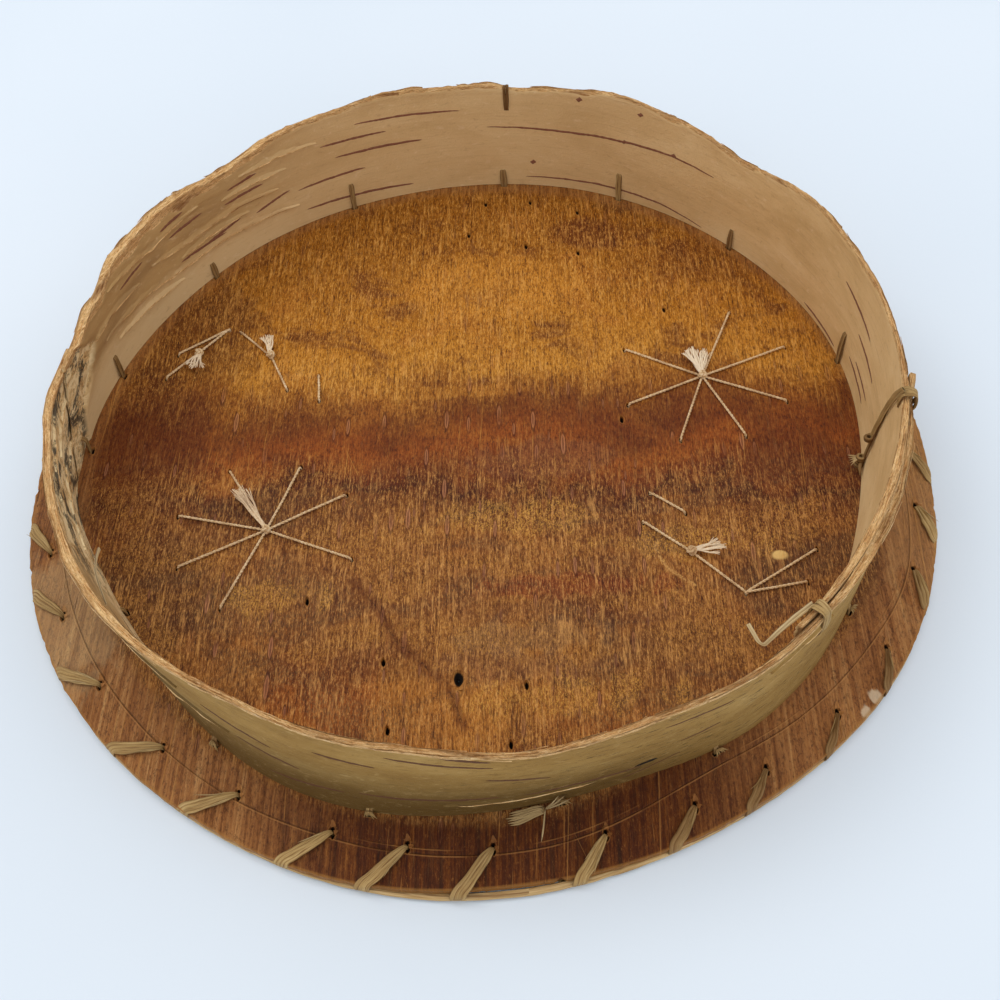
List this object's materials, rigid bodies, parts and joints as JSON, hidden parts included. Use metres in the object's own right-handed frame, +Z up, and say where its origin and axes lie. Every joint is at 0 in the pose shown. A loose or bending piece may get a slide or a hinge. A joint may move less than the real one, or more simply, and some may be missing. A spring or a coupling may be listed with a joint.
{
  "type": "birch bark box lid",
  "caption": "Shallow round birch bark lid or tray: a flat disc with a low upright wall sewn on, a flange overcast with root over a splint, and thread stars stitched through the floor.",
  "frame": {"origin": "centre of the round edge, on the surface that the piece rests on", "axes": "+Z up out of the open side, +Y towards the back, where the tan wall strip runs; +X to the right, seen from the front"},
  "size_m": [0.2912, 0.2935, 0.0504],
  "materials": {
    "floor_bark": "satin, mottled red-brown and ochre inner face of birch bark",
    "back_wall_bark": "matt, pinkish tan bark with long dark pores",
    "front_wall_bark": "matt, olive tan bark with long fissures",
    "splint": "matt split wood",
    "root": "matt split root, straw brown",
    "thread": "dull plant-fibre thread"
  },
  "bodies": {
    "root": {"base_disc": "floor_bark", "edge_stitch_01": "root", "edge_stitch_02": "root", "edge_stitch_03": "root", "edge_stitch_04": "root", "edge_stitch_05": "root", "edge_stitch_06": "root", "edge_stitch_07": "root", "edge_stitch_08": "root", "edge_stitch_09": "root", "edge_stitch_10": "root", "edge_stitch_11": "root", "edge_stitch_12": "root", "edge_stitch_13": "root", "edge_stitch_14": "root", "edge_stitch_15": "root", "edge_stitch_16": "root", "edge_stitch_17": "root", "edge_stitch_18": "root", "edge_stitch_19": "root", "edge_stitch_20": "root", "edge_stitch_21": "root", "edge_stitch_22": "root", "edge_stitch_23": "root", "edge_stitch_24": "root", "edge_stitch_25": "root", "edge_stitch_26": "root", "edge_stitch_27": "root", "edge_stitch_28": "root", "edge_stitch_29": "root", "edge_stitch_30": "root", "edge_stitch_31": "root", "edge_stitch_32": "root", "foot_stitches_back": "root", "foot_stitches_front": "root", "lap_lacing_right": "root", "rim_root_back": "root", "rim_splint_back_left": "splint", "rim_splint_back_right": "splint", "rim_splint_front": "splint", "rim_splint_front_left": "splint", "rim_splint_right": "splint", "rim_tie_front": "root", "rim_tie_right": "root", "root_end_front": "root", "root_end_left": "root", "star_thread_left": "thread", "star_thread_right": "thread", "thread_back_left_1": "thread", "thread_back_left_2": "thread", "thread_front_right": "thread", "thread_single_left": "thread", "thread_single_right": "thread", "wall_inner_strip": "back_wall_bark", "wall_outer_strip": "front_wall_bark"}
  },
  "joints": []
}
